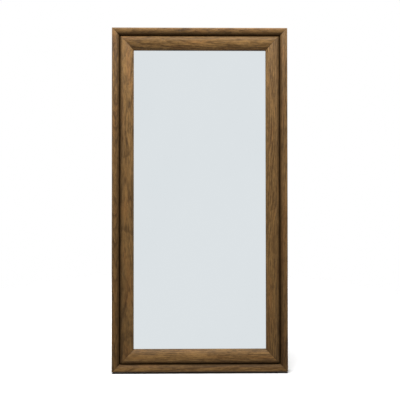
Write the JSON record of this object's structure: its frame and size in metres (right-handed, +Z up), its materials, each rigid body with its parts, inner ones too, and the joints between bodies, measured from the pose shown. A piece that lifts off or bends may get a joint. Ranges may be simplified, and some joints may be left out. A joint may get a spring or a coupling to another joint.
{
  "type": "floor mirror",
  "caption": "Full-length mirror in a two-part moulded wood frame, leaning back on a hinged rear strut that folds flat.",
  "frame": {"origin": "on the floor, at the centre of the footprint, open as it stands", "axes": "+Z up; -Y is the front, towards the viewer of the glass; +X is to the right of the glass as seen from the front"},
  "size_m": [0.92, 0.3613, 1.7978],
  "materials": {
    "outer_oak": "oiled oak, antiqued, satin",
    "inner_oak": "oiled oak, antiqued, satin",
    "strut_oak": "oiled oak, dark",
    "dowel_beech": "beech, unfinished",
    "mirror_glass": "silvered plate glass",
    "backing_board": "hardboard, smooth side out",
    "foam": "thin foam sheet",
    "felt": "dark felt strip",
    "plate_steel": "zinc plated",
    "clip_steel": "zinc plated",
    "screw_steel": "zinc plated",
    "hinge_brass": "brushed, lacquered",
    "hanger_steel": "nickel plated",
    "rubber": "black rubber"
  },
  "bodies": {
    "frame": {"outer_bottom_moulding": "outer_oak", "outer_top_moulding": "outer_oak", "outer_left_moulding": "outer_oak", "outer_right_moulding": "outer_oak", "inner_bottom_moulding": "inner_oak", "inner_top_moulding": "inner_oak", "inner_left_moulding": "inner_oak", "inner_right_moulding": "inner_oak", "mitre_dowels": "dowel_beech", "moulding_screws": "screw_steel", "corner_plate_bottom_left": "plate_steel", "corner_plate_bottom_right": "plate_steel", "corner_plate_top_left": "plate_steel", "corner_plate_top_right": "plate_steel", "corner_screws": "screw_steel", "glass_felt_bottom": "felt", "glass_felt_top": "felt", "glass_felt_left": "felt", "glass_felt_right": "felt", "mirror_glass": "mirror_glass", "setting_pads": "rubber", "foam_sheet": "foam", "backing_board": "backing_board", "board_clips": "clip_steel", "clip_screws": "screw_steel", "hinge_batten": "strut_oak", "batten_screws": "screw_steel", "batten_leaf_left": "hinge_brass", "batten_leaf_right": "hinge_brass", "hinge_pin_left": "hinge_brass", "hinge_pin_right": "hinge_brass", "batten_hinge_screws": "screw_steel", "glide_left": "rubber", "glide_right": "rubber", "hanger_strap_left": "hanger_steel", "hanger_strap_right": "hanger_steel", "strap_screws": "screw_steel"},
    "strut": {"strut_leaf_left": "hinge_brass", "strut_leaf_right": "hinge_brass", "strut_hinge_screws": "screw_steel", "strut_leg_left": "strut_oak", "strut_leg_right": "strut_oak", "strut_top_rail": "strut_oak", "strut_low_rail": "strut_oak", "strut_pegs": "dowel_beech", "strut_foot_left": "rubber", "strut_foot_right": "rubber", "strut_bumpers": "rubber"},
    "hanger_ring_left": {"hanger_ring_left": "hanger_steel"},
    "hanger_ring_right": {"hanger_ring_right": "hanger_steel"}
  },
  "joints": [
    {"name": "strut_fold", "type": "hinge", "parent": "frame", "child": "strut", "pos_m": [0, 0.00697, 1.27572], "axis": [-1, 0, 0], "range_deg": [0, 12.5]},
    {"name": "left_ring_swing", "type": "hinge", "parent": "frame", "child": "hanger_ring_left", "pos_m": [-0.438, 0.03842, 1.51374], "axis": [1, 0, 0], "range_deg": [-8, 150]},
    {"name": "right_ring_swing", "type": "hinge", "parent": "frame", "child": "hanger_ring_right", "pos_m": [0.438, 0.03842, 1.51374], "axis": [1, 0, 0], "range_deg": [-8, 150]}
  ]
}
